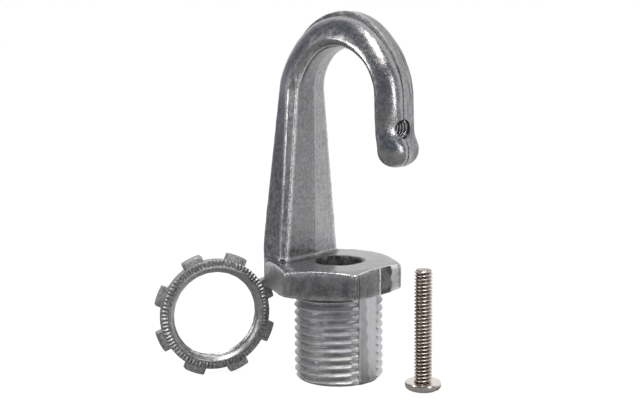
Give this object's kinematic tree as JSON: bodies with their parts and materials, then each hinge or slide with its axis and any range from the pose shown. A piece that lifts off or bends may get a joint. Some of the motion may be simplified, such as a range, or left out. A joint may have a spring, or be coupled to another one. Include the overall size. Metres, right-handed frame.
{
  "type": "ceiling hook",
  "caption": "Cast ceiling hook with a hollow threaded nipple, a hexagonal flange, a locknut and a screw that closes its mouth.",
  "frame": {"origin": "centre of the nipple's free end", "axes": "+Z along the nipple towards the bend, +X from the stem towards the arm, Y across the hook's thickness"},
  "size_m": [0.0575, 0.0459, 0.0839],
  "materials": {
    "die_cast": "bare die casting, scuffed, satin",
    "locknut_metal": "bare die casting, grainy",
    "screw_metal": "plated, bright"
  },
  "bodies": {
    "root": {"hook": "die_cast", "locknut": "locknut_metal", "closing_screw": "screw_metal"}
  },
  "joints": []
}
